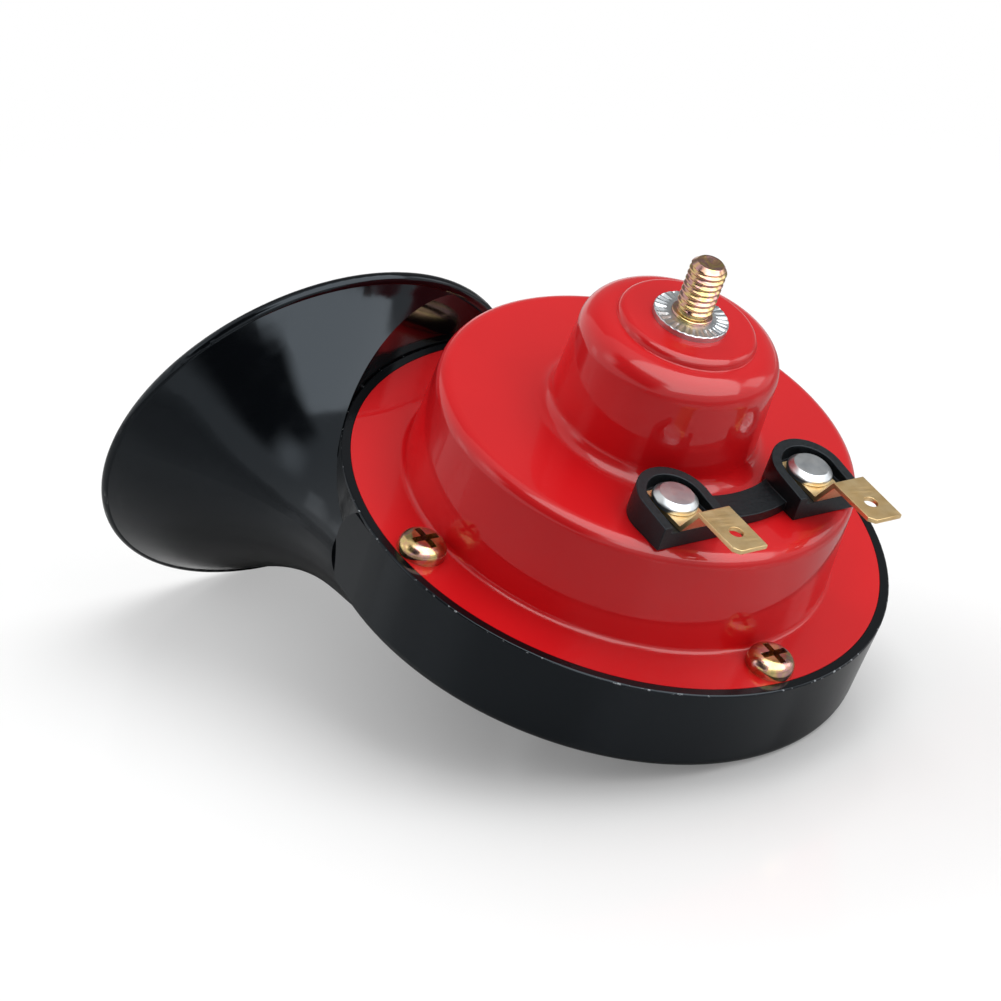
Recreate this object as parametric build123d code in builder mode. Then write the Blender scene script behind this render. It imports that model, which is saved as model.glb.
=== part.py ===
from build123d import *
from math import atan2, cos, degrees, radians, sin, sqrt
import os

# Electric snail horn: moulded trumpet housing, pressed steel cover, coil, armature and breaker.
# The origin is on the stud's axis, level with the outside of the cover's flange. +Z runs out
# along the fixing stud, and the trumpet's mouth opens towards -Y.

os.makedirs("parts", exist_ok=True)

# ------------------------------------------------------------------ driving dimensions (mm)
sheet = 1.0                     # thickness of the steel cover
flange_radius = 44.0            # cover, outer edge of the flange
flange_width = 8.7              # cover, flange outside the wide step
step_lean = 0.8                 # cover, how much the step narrows to its top
step_height = 17.7              # cover, flange to top of the step
cap_radius = 16.9               # cover, foot of the coil cap
cap_top_radius = 16.2           # cover, the cap where it turns over
cap_height = 36.2               # cover, flange to the cap's shoulder
pad_foot_radius = 11.4          # cover, raised seat round the stud
pad_top_radius = 11.0
pad_rise = 1.5
flange_fillet = 0.9
step_fillet = 2.4
cap_foot_fillet = 2.6
cap_top_fillet = 4.4
pad_foot_fillet = 0.25
pad_fillet = 1.3

lip_wall = 1.6                  # cup, rim round the flange
lip_fillet = 0.35
wall_draft = 2.5                # cup, degrees
wall_thickness = 3.2            # cup, outer wall
cup_depth = 15.5
cup_fillet = 1.9                # cup, bottom outer corner
seat_depth = 2.0                # cup, lip to diaphragm seat
seat_width = 9.5                # cup, ledge that the flange rests on
seat_underside = 9.0            # cup, lip to the underside of seat and web
web_thickness = 1.5
fit = 0.1                       # radial clearance of parts that drop into each other
running = 0.6                   # clearance round the moving armature

plate_thickness = 2.0           # trumpet, front plate
duct_wall = 1.8
bell_wall = 2.0
duct_start_radius = 5.4         # outside of the duct at the throat
duct_end_radius = 7.2           # outside of the duct where the bell starts
first_turn_radius = 7.0         # half turns of the spiral duct, from the throat outwards
second_turn_radius = 16.5
neck_inset = 10.0               # duct's end inside the cover's edge
neck_shift = 0.45               # bell's first section outside the duct's end
neck_start = 5.0                # the same section in front of the stud's axis
neck_level = -9.5
neck_radius = 11.8
mouth_radius = 36.25
mouth_tilt = 10.1               # degrees that the rim leans back at the top
mouth_inset = 19.2              # middle of the mouth inside the cover's edge
mouth_reach = 7.0               # middle of the mouth in front of the cover's edge
mouth_level = -20.8
flare_power = 2.18              # how late the bell opens
flare_bend = 0.66               # how early the bell swings across to its mouth
rim_overrun = 1.2               # bell's inside run past the rim, to cut it open
rim_bead_radius = 1.1           # rounded bead that stiffens the rim
rim_lead = 0.2                  # middle of the bead in front of the mouth
shoulder_drop = 0.6             # shoulder's top under the lip
seam_over = 1.0                 # seam's arc runs past the cup's lip and bottom
seam_top_y = -3.4               # seam between cup and bell, above the lip
seam_bulge_y = -8.6             # the same seam where it bows out furthest
seam_foot_y = -1.2              # the same seam below the cup

screw_edge = 3.9                # cover screws inside the flange's edge
screw_angle = 7.5               # degrees from +X to the first cover screw
screw_count = 4
screw_radius = 2.0              # M4
screw_length = 8.0
screw_head_radius = 3.9
screw_head_height = 2.7
screw_head_crown = 1.9          # rounding of the pan head
recess_span = 4.8               # cross recess, tip to tip
recess_slot = 1.1
recess_depth = 1.7
recess_taper = 8.0
pilot_depth = 6.5               # screw hole below the diaphragm seat

diaphragm_thickness = 0.4
gasket_thickness = 0.6
gasket_width = 8.5
clamp_radius = 12.0             # washers either side of the diaphragm
clamp_thickness = 1.0
armature_radius = 6.0
armature_flange_radius = 9.0
armature_flange = 2.5
armature_stem_radius = 2.5      # M5
armature_nut_flats = 8.0
armature_nut_height = 3.2
armature_stem_rest = 0.6        # stem showing past the nut
push_ring_radius = 9.0
push_ring_height = 1.0
push_ring_gap = 0.5             # push ring to breaker spring, at rest
air_gap = 0.9
core_radius = 5.5
core_rise = 0.2                 # core end above the underside of the step
stud_radius = 3.0               # M6
stud_root_radius = 2.6
stud_length = 9.8               # above the washer
stud_bite = 10.0                # length screwed into the core
stud_neck = 1.2                 # plain neck above the washer
stud_chamfer = 0.9
stud_bead_radius = 3.35         # swaged bead that keeps the washer on
stud_bead_height = 0.5
stud_dimple_radius = 1.5
stud_dimple_depth = 0.8
washer_radius = 6.1
washer_bore = 3.1
washer_thickness = 1.05
serration_count = 32
serration_depth = 0.18
serration_width = 0.72
serration_root = 4.0            # serrations start this far from the axis

flux_plate_thickness = 2.0
flux_plate_gap = 1.38           # flux plate to the inner insulator
flux_ear_width = 11.0
flux_ear_tip = 29.5
coil_radius = 13.4
bobbin_radius = 14.3
bobbin_wall = 0.9
bobbin_height = 16.0
bobbin_lift = 0.1               # bobbin above the flux plate
core_fit = 0.2                  # bobbin over the core
wire_radius = 0.6
wire_hole_radius = 0.9
wire_bend = 1.0
bend_out = 2.7                  # the terminal lead dips under the flux plate between these,
bend_in = 3.8                   # counted in from the rivet
lead_turn = 31.0                # degrees from terminals or breaker to where a lead goes up
wire_end_rise = 2.4             # lead's end above the flux plate

terminal_angle = 97.5           # degrees from +X to the middle of the terminals
terminal_spread = 14.0          # each terminal off that middle line
terminal_gap = 2.68             # horseshoe to the foot of the coil cap
cup_floor = 3.0                 # terminal insulator, floor
horseshoe_radius = 6.5
horseshoe_wall = 1.7
horseshoe_open = 5.8            # open end of the horseshoes past the rivet
horseshoe_back = 23.2           # top of the wall behind the rivet
horseshoe_front = 21.9          # top of the wall at the open end
bridge_back = 1.1               # bridge's inner edge behind the rivets, towards the stud
bridge_width = 5.5
bridge_height = 1.8
tab_width = 6.3
tab_thickness = 0.8
tab_level = 26.1                # top of the tab
tab_back = 3.5                  # end of the base behind the rivet
tab_foot = 5.4                  # past the rivet: where the riser leaves the base
tab_root = 7.8                  # where the tab leaves the riser
tab_tip = 17.6
tab_chamfer = 1.0
tab_hole_radius = 1.15
tab_hole = 13.5
rivet_head_radius = 3.75
rivet_head_height = 1.6
rivet_rim_height = 0.7          # upright edge of the head below its bevel
rivet_flat_radius = 2.8
rivet_shank_radius = 1.5
rivet_tail_radius = 2.8
rivet_tail_height = 0.9
bush_radius = 2.3               # insulator boss through the cover
inner_insulator_thickness = 0.8
inner_insulator_back = 3.5      # from the rivets towards the stud
inner_insulator_front = 3.5     # and away from it
inner_insulator_half_angle = 42.0

breaker_reach = 24.0            # breaker stack from the stud's axis, away from the terminals
breaker_length = 10.0
breaker_width = 9.0
breaker_screw_gap = 5.0         # between the stack's two screws
breaker_screw_radius = 1.25
breaker_head_radius = 2.3
breaker_head_height = 1.4
breaker_screw_rest = 0.4        # flux plate left above the screws' ends
breaker_clear_radius = 1.9      # holes in spring and arm, clear of the screws
stack_insulator = 1.0
stack_spacer = 2.0
spring_thickness = 0.4
spring_width = 6.0
spring_tip = 7.6                # free end of the spring from the stud's axis
arm_thickness = 1.2
arm_width = 7.0
arm_tip = 12.0
contact_radius = 1.75
contact_height = 1.0
contact_reach = 14.5            # contacts from the stud's axis
breaker_lead_radius = 28.5      # run of the breaker's lead round the chamber
lead_leaves = 35.0              # degrees round from the breaker where that run starts
lead_middle = 75.0
lead_rises = 115.0              # and where it starts to rise to the terminal

# ------------------------------------------------------------------ levels and places that follow
step_radius = flange_radius - flange_width
step_top_radius = step_radius - step_lean
seat_bore = flange_radius - seat_width
gasket_bore = flange_radius - gasket_width
screw_circle = flange_radius - screw_edge
neck_x = flange_radius - neck_inset
last_turn_radius = neck_x / 2 - first_turn_radius + second_turn_radius
neck_centre = (neck_x + neck_shift, -neck_start, neck_level)
mouth_centre = (flange_radius - mouth_inset, -flange_radius - mouth_reach, mouth_level)
rivet_circle = cap_radius + terminal_gap + horseshoe_radius
terminal_reach = sqrt(rivet_circle ** 2 - terminal_spread ** 2)
inner_insulator_inner = rivet_circle - inner_insulator_back
inner_insulator_outer = rivet_circle + inner_insulator_front
flux_plate_radius = inner_insulator_inner - flux_plate_gap
lip_radius = flange_radius + fit + lip_wall
cup_base_radius = lip_radius - cup_depth * sin(radians(wall_draft))
cup_bore = lip_radius - wall_thickness
plate_top = -cup_depth + plate_thickness
throat_radius = duct_start_radius - duct_wall
diaphragm_under = -sheet - diaphragm_thickness
seat_level = -seat_depth
web_top = -seat_underside + web_thickness
pad_top = cap_height + pad_rise
step_under = step_height - sheet
flux_plate_under = step_under - flux_plate_thickness
washer_top = pad_top + washer_thickness
stud_tip = washer_top + stud_length
core_foot = step_under + core_rise
core_top = pad_top - sheet
armature_top = core_foot - air_gap
armature_nut_under = diaphragm_under - clamp_thickness - armature_nut_height
bobbin_foot = step_under + bobbin_lift
winding_foot = bobbin_foot + bobbin_wall
bobbin_tube_radius = core_radius + core_fit + bobbin_wall
breaker_angle = terminal_angle + 180
spring_top = flux_plate_under - stack_insulator
spring_under = spring_top - spring_thickness
wire_level = spring_top - spring_thickness / 2
arm_top = spring_under - stack_spacer
arm_under = arm_top - arm_thickness
stack_foot = arm_under - stack_insulator
push_ring_top = spring_under - push_ring_gap
tab_base_top = step_height + cup_floor + tab_thickness
inner_insulator_under = step_under - inner_insulator_thickness
loop_level = inner_insulator_under - wire_radius
lead_x = (coil_radius + wire_radius) * sin(radians(lead_turn))
lead_y = (coil_radius + wire_radius) * cos(radians(lead_turn))
loop_radius = rivet_shank_radius + fit + wire_radius
rivet_tail_top = inner_insulator_under - 2 * wire_radius
terminal_places = ((terminal_spread, terminal_reach), (-terminal_spread, terminal_reach))
horseshoe_end = terminal_reach + horseshoe_open
far = 60.0                      # beyond any part of the housing


def turned_plane(angle, height=0.0):
    """Horizontal plane whose local +Y points away from the stud's axis at this angle."""
    return Plane(
        origin=(0, 0, height),
        x_dir=(sin(radians(angle)), -cos(radians(angle)), 0),
        z_dir=(0, 0, 1),
    )


def upright_plane(angle, sideways=0.0):
    """Upright plane whose local +X points outwards at this angle and local +Y points up."""
    side = (sin(radians(angle)), -cos(radians(angle)), 0)
    return Plane(
        origin=(side[0] * sideways, side[1] * sideways, 0),
        x_dir=(cos(radians(angle)), sin(radians(angle)), 0),
        z_dir=side,
    )


def write(part, name):
    part.label = name
    export_step(part, f"parts/{name}.step")


def ring(outer, inner, foot, height):
    """Flat ring about the stud's axis."""
    with BuildPart() as flat_ring:
        with BuildSketch(Plane.XY.offset(foot)):
            Circle(outer)
            Circle(inner, mode=Mode.SUBTRACT)
        extrude(amount=height)
    return flat_ring.part


# ------------------------------------------------------------------ sound passage
# The bell is a loft of round sections. Each one is given by how far it lies from the mouth.
# It opens by a power law and swings from the neck's centre line to the mouth's.
bell_steps = (0.0, 0.12, 0.25, 0.4, 0.55, 0.7, 0.85)


def bell_section(share):
    """Plane and radius of the bell's outside at a share of the way from mouth to neck."""
    opening = (1 - share) ** flare_power
    tilt = radians(mouth_tilt) * (1 - share) ** 2
    centre = (
        mouth_centre[0] + (neck_centre[0] - mouth_centre[0]) * share ** flare_bend,
        mouth_centre[1] + (neck_centre[1] - mouth_centre[1]) * share,
        mouth_centre[2] + (neck_centre[2] - mouth_centre[2]) * share,
    )
    radius = neck_radius + (mouth_radius - neck_radius) * opening
    plane = Plane(origin=centre, x_dir=(1, 0, 0), z_dir=(0, cos(tilt), -sin(tilt)))
    return plane, radius


def spiral_duct(inset):
    """Spiral tube that widens from the throat to the neck, its surface inset by a wall."""
    first_end = 2 * first_turn_radius
    with BuildLine(Plane.XY.offset(plate_top)) as path:
        CenterArc((first_turn_radius, 0), first_turn_radius, 180, -180)
        CenterArc((first_end - second_turn_radius, 0), second_turn_radius, 0, -180)
        CenterArc((neck_x - last_turn_radius, 0), last_turn_radius, 180, -180)
    with BuildPart() as duct:
        with BuildSketch(Plane(origin=(0, 0, plate_top), x_dir=(1, 0, 0), z_dir=(0, 1, 0))):
            Circle(duct_start_radius - inset)
        with BuildSketch(Plane(origin=(neck_x, 0, plate_top), x_dir=(1, 0, 0), z_dir=(0, -1, 0))):
            Circle(duct_end_radius - inset)
        sweep(path=path.line, multisection=True)
        with Locations((0, 0, plate_top)):
            Sphere(duct_start_radius - inset)
    return duct.part


def bell_form(inset, overrun):
    """Bell from neck to mouth, its surface inset by a wall and run past the rim."""
    with BuildPart() as bell:
        with BuildSketch(Plane(origin=(neck_x, 0, plate_top), x_dir=(1, 0, 0), z_dir=(0, 1, 0))):
            Circle(duct_end_radius - inset)
        for share in reversed(bell_steps):
            plane, radius = bell_section(share)
            with BuildSketch(plane):
                Circle(radius - inset)
        loft()
        if overrun:
            plane, radius = bell_section(0.0)
            with BuildSketch(plane):
                Circle(radius - inset)
            extrude(amount=-overrun)
    return bell.part


with BuildPart() as passage_outside:
    add(spiral_duct(0.0))
    add(bell_form(0.0, 0.0))

with BuildPart() as passage_inside:
    add(spiral_duct(duct_wall))
    add(bell_form(bell_wall, rim_overrun))

with BuildPart() as lower_passage:
    add(passage_inside.part)
    with BuildSketch(Plane.XY.offset(-seat_underside)):
        Circle(far * 2)
    extrude(amount=far, mode=Mode.SUBTRACT)

# ------------------------------------------------------------------ cup outline
wall_corner = (cup_base_radius, -cup_depth)
lip_corner = (lip_radius, 0)

seam_arc = (
    (seam_foot_y, -cup_depth - seam_over),
    (seam_bulge_y, -cup_depth * 0.55),
    (seam_top_y, seam_over),
)

# Flat shoulder that leaves the round wall and runs on to the bowed seam with the bell.
with BuildPart() as shoulder:
    with BuildSketch(Plane.XZ) as shoulder_profile:
        with BuildLine():
            Polyline(
                (cup_bore - wall_thickness, -shoulder_drop),
                (lip_radius - shoulder_drop * sin(radians(wall_draft)), -shoulder_drop),
                wall_corner,
                (cup_bore - wall_thickness, -cup_depth),
                close=True,
            )
        make_face()
        fillet(shoulder_profile.vertices().sort_by_distance(wall_corner)[0], cup_fillet)
    extrude(amount=-seam_bulge_y)
    with BuildSketch(Plane.YZ):
        with BuildLine():
            ThreePointArc(*seam_arc)
            Polyline(
                seam_arc[-1],
                (2 * seam_bulge_y, seam_over),
                (2 * seam_bulge_y, -cup_depth - seam_over),
                seam_arc[0],
            )
        make_face()
    extrude(amount=far, mode=Mode.SUBTRACT)

with BuildPart() as cup_envelope:
    with BuildSketch(Plane.XZ) as cup_profile:
        with BuildLine():
            Polyline(
                (0, 0),
                (lip_radius, 0),
                wall_corner,
                (0, -cup_depth),
                close=True,
            )
        make_face()
        fillet(cup_profile.vertices().sort_by_distance(wall_corner)[0], cup_fillet)
        fillet(cup_profile.vertices().sort_by_distance(lip_corner)[0], lip_fillet)
    revolve(axis=Axis.Z)
    add(shoulder.part)

# ------------------------------------------------------------------ trumpet
# The bell stops at the cup: above the lip it is closed by a wall that follows the cup's curve.
with BuildPart() as bell_passage:
    add(passage_inside.part)
    with BuildSketch(Plane.XY.offset(-seat_underside)):
        Circle(lip_radius + bell_wall)
    extrude(amount=far, mode=Mode.SUBTRACT)
    add(lower_passage.part)

with BuildPart() as trumpet:
    add(passage_outside.part)
    add(cup_envelope.part, mode=Mode.SUBTRACT)
    with BuildSketch(Plane.XY.offset(-seat_depth)):
        Circle(lip_radius)
    extrude(amount=far, mode=Mode.SUBTRACT)
    with BuildSketch(Plane.YZ.offset(cup_bore - wall_thickness)):
        with BuildLine():
            ThreePointArc(*seam_arc)
            Polyline(
                seam_arc[-1],
                (seam_top_y, cup_depth),
                (far, cup_depth),
                (far, -cup_depth - seam_over),
                seam_arc[0],
            )
        make_face()
    extrude(amount=far, mode=Mode.SUBTRACT)
    with BuildSketch(Plane.XY.offset(-cup_depth)):
        Circle(cup_bore - fit)
    extrude(amount=plate_thickness)
    add(bell_passage.part, mode=Mode.SUBTRACT)
    mouth_plane, _ = bell_section(0.0)
    with Locations(mouth_plane.offset(-rim_lead)):
        Torus(mouth_radius - bell_wall / 2, rim_bead_radius)
write(trumpet.part, "trumpet")

# ------------------------------------------------------------------ cup
# The upper half of the passage is moulded on to the underside of the cup's web.
with BuildPart() as passage_roof:
    add(passage_outside.part)
    with BuildSketch(Plane.XY.offset(plate_top)):
        Circle(cup_bore)
    extrude(amount=web_top - plate_top, mode=Mode.INTERSECT)

with BuildPart() as cup:
    add(cup_envelope.part)
    with BuildSketch(Plane.XY.offset(-cup_depth)):
        Circle(cup_bore)
    extrude(amount=cup_depth - seat_underside, mode=Mode.SUBTRACT)
    add(passage_roof.part)
    add(lower_passage.part, mode=Mode.SUBTRACT)
    with BuildSketch(Plane.XY.offset(seat_level)):
        Circle(flange_radius + fit)
    extrude(amount=seat_depth, mode=Mode.SUBTRACT)
    with BuildSketch(Plane.XY.offset(web_top)):
        Circle(seat_bore)
    extrude(amount=seat_level - web_top, mode=Mode.SUBTRACT)
    with BuildSketch(Plane.XY.offset(plate_top)):
        Circle(throat_radius)
    extrude(amount=web_top - plate_top, mode=Mode.SUBTRACT)
    with BuildSketch(Plane.XY.offset(seat_level)):
        with PolarLocations(screw_circle, screw_count, start_angle=screw_angle):
            Circle(screw_radius)
    extrude(amount=-pilot_depth, mode=Mode.SUBTRACT)
write(cup.part, "cup")

# ------------------------------------------------------------------ cover
cover_corners = (
    ((step_radius, 0), flange_fillet),
    ((step_top_radius, step_height), step_fillet),
    ((cap_radius, step_height), cap_foot_fillet),
    ((cap_top_radius, cap_height), cap_top_fillet),
    ((pad_foot_radius, cap_height), pad_foot_fillet),
    ((pad_top_radius, pad_top), pad_fillet),
)
with BuildPart() as shell:
    with BuildSketch(Plane.XZ):
        with BuildLine() as skin:
            FilletPolyline(
                (flange_radius, 0),
                *[corner for corner, _ in cover_corners],
                (washer_bore, pad_top),
                radius=[radius for _, radius in cover_corners],
            )
            offset(amount=sheet, side=Side.LEFT)
        make_face()
    revolve(axis=Axis.Z)
    with BuildSketch(Plane.XY.offset(-sheet)):
        with PolarLocations(screw_circle, screw_count, start_angle=screw_angle):
            Circle(screw_radius + fit)
    extrude(amount=sheet, mode=Mode.SUBTRACT)
    with BuildSketch(turned_plane(terminal_angle, step_under)):
        with Locations(*terminal_places):
            Circle(bush_radius + fit)
    extrude(amount=sheet, mode=Mode.SUBTRACT)
write(shell.part, "shell")

with BuildPart() as screw:
    with BuildSketch(Plane.XY.offset(-screw_length)):
        Circle(screw_radius)
    extrude(amount=screw_length)
    with BuildSketch():
        Circle(screw_head_radius)
    extrude(amount=screw_head_height)
    fillet(screw.edges().filter_by(GeomType.CIRCLE).sort_by(Axis.Z)[-1], screw_head_crown)
    with BuildSketch(Plane.XY.offset(screw_head_height)):
        Rectangle(recess_span, recess_slot)
        Rectangle(recess_slot, recess_span)
    extrude(amount=-recess_depth, taper=recess_taper, mode=Mode.SUBTRACT)

with BuildPart() as shell_screws:
    with PolarLocations(screw_circle, screw_count, start_angle=screw_angle):
        add(screw.part)
write(shell_screws.part, "shell_screws")

# ------------------------------------------------------------------ stud, washer, core and coil
with BuildPart() as mounting_stud:
    with BuildSketch(Plane.XZ):
        with BuildLine():
            Polyline(
                (0, core_top - stud_bite),
                (stud_radius, core_top - stud_bite),
                (stud_radius, washer_top),
                (stud_bead_radius, washer_top),
                (stud_bead_radius, washer_top + stud_bead_height),
                (stud_root_radius, washer_top + stud_bead_height),
                (stud_root_radius, washer_top + stud_neck),
                (stud_radius, washer_top + stud_neck + stud_radius - stud_root_radius),
                (stud_radius, stud_tip - stud_chamfer),
                (stud_radius - stud_chamfer, stud_tip),
                (stud_dimple_radius, stud_tip),
                (0, stud_tip - stud_dimple_depth),
                close=True,
            )
        make_face()
    revolve(axis=Axis.Z)
write(mounting_stud.part, "mounting_stud")

with BuildPart() as serration:
    with BuildSketch(Plane.YZ.offset(serration_root)):
        with BuildLine():
            Polyline(
                (-serration_width / 2, washer_top),
                (0, washer_top - serration_depth),
                (serration_width / 2, washer_top),
                close=True,
            )
        make_face()
    extrude(amount=washer_radius)

with BuildPart() as serrated_washer:
    add(ring(washer_radius, washer_bore, pad_top, washer_thickness))
    with PolarLocations(0, serration_count):
        add(serration.part, mode=Mode.SUBTRACT)
write(serrated_washer.part, "serrated_washer")

with BuildPart() as pole_core:
    with BuildSketch(Plane.XY.offset(core_foot)):
        Circle(core_radius)
    extrude(amount=core_top - core_foot)
    with BuildSketch(Plane.XY.offset(core_top)):
        Circle(stud_radius)
    extrude(amount=-stud_bite, mode=Mode.SUBTRACT)
write(pole_core.part, "pole_core")

lead_holes = (
    turned_plane(terminal_angle).from_local_coords((lead_x, lead_y, 0)),
    turned_plane(breaker_angle).from_local_coords((-lead_x, lead_y, 0)),
)
with BuildPart() as coil_bobbin:
    add(ring(bobbin_tube_radius, core_radius + core_fit, bobbin_foot, bobbin_height))
    add(ring(bobbin_radius, core_radius + core_fit, bobbin_foot, bobbin_wall))
    add(ring(
        bobbin_radius,
        core_radius + core_fit,
        bobbin_foot + bobbin_height - bobbin_wall,
        bobbin_wall,
    ))
    with BuildSketch(Plane.XY.offset(bobbin_foot)):
        with Locations(*lead_holes):
            Circle(wire_hole_radius)
    extrude(amount=bobbin_wall, mode=Mode.SUBTRACT)
write(coil_bobbin.part, "coil_bobbin")

coil_winding = ring(
    coil_radius,
    bobbin_tube_radius,
    winding_foot,
    bobbin_height - 2 * bobbin_wall,
)
write(coil_winding, "coil_winding")

with BuildPart() as flux_plate:
    add(ring(flux_plate_radius, armature_radius + running, flux_plate_under, flux_plate_thickness))
    with BuildSketch(turned_plane(breaker_angle, flux_plate_under)):
        with Locations((0, (flux_plate_radius / 2 + flux_ear_tip) / 2)):
            Rectangle(flux_ear_width, flux_ear_tip - flux_plate_radius / 2)
    extrude(amount=flux_plate_thickness)
    with BuildSketch(Plane.XY.offset(flux_plate_under)):
        with Locations(*lead_holes):
            Circle(wire_hole_radius)
    extrude(amount=flux_plate_thickness, mode=Mode.SUBTRACT)
    with BuildSketch(turned_plane(breaker_angle, flux_plate_under)):
        with GridLocations(0, breaker_screw_gap, 1, 2):
            with Locations((0, breaker_reach)):
                Circle(breaker_screw_radius)
    extrude(amount=flux_plate_thickness - breaker_screw_rest, mode=Mode.SUBTRACT)
write(flux_plate.part, "flux_plate")

# ------------------------------------------------------------------ diaphragm and armature
with BuildPart() as diaphragm:
    add(ring(flange_radius, armature_stem_radius + fit, diaphragm_under, diaphragm_thickness))
    with BuildSketch(Plane.XY.offset(diaphragm_under)):
        with PolarLocations(screw_circle, screw_count, start_angle=screw_angle):
            Circle(screw_radius + fit)
    extrude(amount=diaphragm_thickness, mode=Mode.SUBTRACT)
write(diaphragm.part, "diaphragm")

with BuildPart() as diaphragm_gasket:
    add(ring(flange_radius, gasket_bore, seat_level, gasket_thickness))
    with BuildSketch(Plane.XY.offset(seat_level)):
        with PolarLocations(screw_circle, screw_count, start_angle=screw_angle):
            Circle(screw_radius + fit)
    extrude(amount=gasket_thickness, mode=Mode.SUBTRACT)
write(diaphragm_gasket.part, "diaphragm_gasket")

write(
    ring(clamp_radius, armature_stem_radius + fit, -sheet, clamp_thickness),
    "armature_washer_upper",
)
write(
    ring(
        clamp_radius,
        armature_stem_radius + fit,
        diaphragm_under - clamp_thickness,
        clamp_thickness,
    ),
    "armature_washer_lower",
)

armature_foot = clamp_thickness - sheet
with BuildPart() as armature:
    with BuildSketch(Plane.XY.offset(armature_nut_under - armature_stem_rest)):
        Circle(armature_stem_radius)
    extrude(amount=armature_foot - armature_nut_under + armature_stem_rest)
    with BuildSketch(Plane.XY.offset(armature_foot)):
        Circle(armature_flange_radius)
    extrude(amount=armature_flange)
    with BuildSketch(Plane.XY.offset(armature_foot)):
        Circle(armature_radius)
    extrude(amount=armature_top - armature_foot)
write(armature.part, "armature")

with BuildPart() as armature_nut:
    with BuildSketch(Plane.XY.offset(armature_nut_under)):
        RegularPolygon(armature_nut_flats / 2, 6, major_radius=False)
        Circle(armature_stem_radius, mode=Mode.SUBTRACT)
    extrude(amount=armature_nut_height)
write(armature_nut.part, "armature_nut")

push_ring = ring(
    push_ring_radius,
    armature_radius,
    push_ring_top - push_ring_height,
    push_ring_height,
)
write(push_ring, "push_ring")

# ------------------------------------------------------------------ contact breaker
stack_back = breaker_reach + breaker_length / 2
stack_front = breaker_reach - breaker_length / 2


def stack_plate(foot, height, hole_radius, tongue_width=0.0, tongue_tip=0.0):
    """Plate of the breaker stack, with the tongue that reaches in towards the armature."""
    with BuildPart() as plate:
        with BuildSketch(turned_plane(breaker_angle, foot)):
            with Locations((0, breaker_reach)):
                Rectangle(breaker_width, breaker_length)
            if tongue_width:
                with Locations((0, (tongue_tip + stack_back) / 2)):
                    Rectangle(tongue_width, stack_back - tongue_tip)
            with Locations((0, breaker_reach)):
                with GridLocations(0, breaker_screw_gap, 1, 2):
                    Circle(hole_radius, mode=Mode.SUBTRACT)
        extrude(amount=height)
    return plate.part


def contact(foot):
    """Round contact button."""
    with BuildPart() as button:
        with BuildSketch(turned_plane(breaker_angle, foot)):
            with Locations((0, contact_reach)):
                Circle(contact_radius)
        extrude(amount=contact_height)
    return button.part


snug = breaker_screw_radius + fit
write(stack_plate(spring_top, stack_insulator, snug), "breaker_insulator_upper")
write(stack_plate(arm_top, stack_spacer, snug), "breaker_insulator_middle")
write(stack_plate(stack_foot, stack_insulator, snug), "breaker_insulator_lower")
breaker_spring = stack_plate(
    spring_under,
    spring_thickness,
    breaker_clear_radius,
    spring_width,
    spring_tip,
)
write(breaker_spring, "breaker_spring")
breaker_arm = stack_plate(
    arm_under,
    arm_thickness,
    breaker_clear_radius,
    arm_width,
    arm_tip,
)
write(breaker_arm, "breaker_arm")
write(contact(arm_top), "fixed_contact")
write(contact(spring_under - contact_height), "moving_contact")

with BuildPart() as breaker_screws:
    with BuildSketch(turned_plane(breaker_angle, stack_foot)):
        with Locations((0, breaker_reach)):
            with GridLocations(0, breaker_screw_gap, 1, 2):
                Circle(breaker_screw_radius)
    extrude(amount=step_under - breaker_screw_rest - stack_foot)
    with BuildSketch(turned_plane(breaker_angle, stack_foot - breaker_head_height)):
        with Locations((0, breaker_reach)):
            with GridLocations(0, breaker_screw_gap, 1, 2):
                Circle(breaker_head_radius)
    extrude(amount=breaker_head_height)
write(breaker_screws.part, "breaker_screws")

# ------------------------------------------------------------------ terminals
with BuildPart() as terminal_insulator:
    with BuildSketch(turned_plane(terminal_angle, step_height)):
        for across, out in terminal_places:
            with Locations((across, out)):
                Circle(horseshoe_radius)
            with Locations((across, (out + horseshoe_end) / 2)):
                Rectangle(2 * horseshoe_radius, horseshoe_end - out)
        with Locations((0, horseshoe_end - far / 2)):
            Rectangle(far, far, mode=Mode.INTERSECT)
    extrude(amount=horseshoe_back - step_height)
    with BuildSketch(turned_plane(terminal_angle, step_height + cup_floor)):
        for across, out in terminal_places:
            with Locations((across, out)):
                Circle(horseshoe_radius - horseshoe_wall)
            with Locations((across, (out + horseshoe_end) / 2)):
                Rectangle(2 * (horseshoe_radius - horseshoe_wall), horseshoe_end - out)
    extrude(amount=horseshoe_back, mode=Mode.SUBTRACT)
    with BuildSketch(upright_plane(terminal_angle)):
        with BuildLine():
            Polyline(
                (terminal_reach - horseshoe_radius, horseshoe_back),
                (horseshoe_end, horseshoe_front),
                (horseshoe_end, horseshoe_back),
                close=True,
            )
        make_face()
    extrude(amount=far, both=True, mode=Mode.SUBTRACT)
    with BuildSketch(turned_plane(terminal_angle, step_height)):
        Circle(terminal_reach - bridge_back + bridge_width)
        Circle(terminal_reach - bridge_back, mode=Mode.SUBTRACT)
        with Locations((0, terminal_reach)):
            Rectangle(2 * terminal_spread, terminal_reach, mode=Mode.INTERSECT)
    extrude(amount=bridge_height)
    with BuildSketch(turned_plane(terminal_angle, step_under)):
        with Locations(*terminal_places):
            Circle(bush_radius)
    extrude(amount=sheet)
    with BuildSketch(turned_plane(terminal_angle, step_under)):
        with Locations(*terminal_places):
            Circle(rivet_shank_radius + fit)
    extrude(amount=cup_floor + sheet, mode=Mode.SUBTRACT)
write(terminal_insulator.part, "terminal_insulator")

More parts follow.
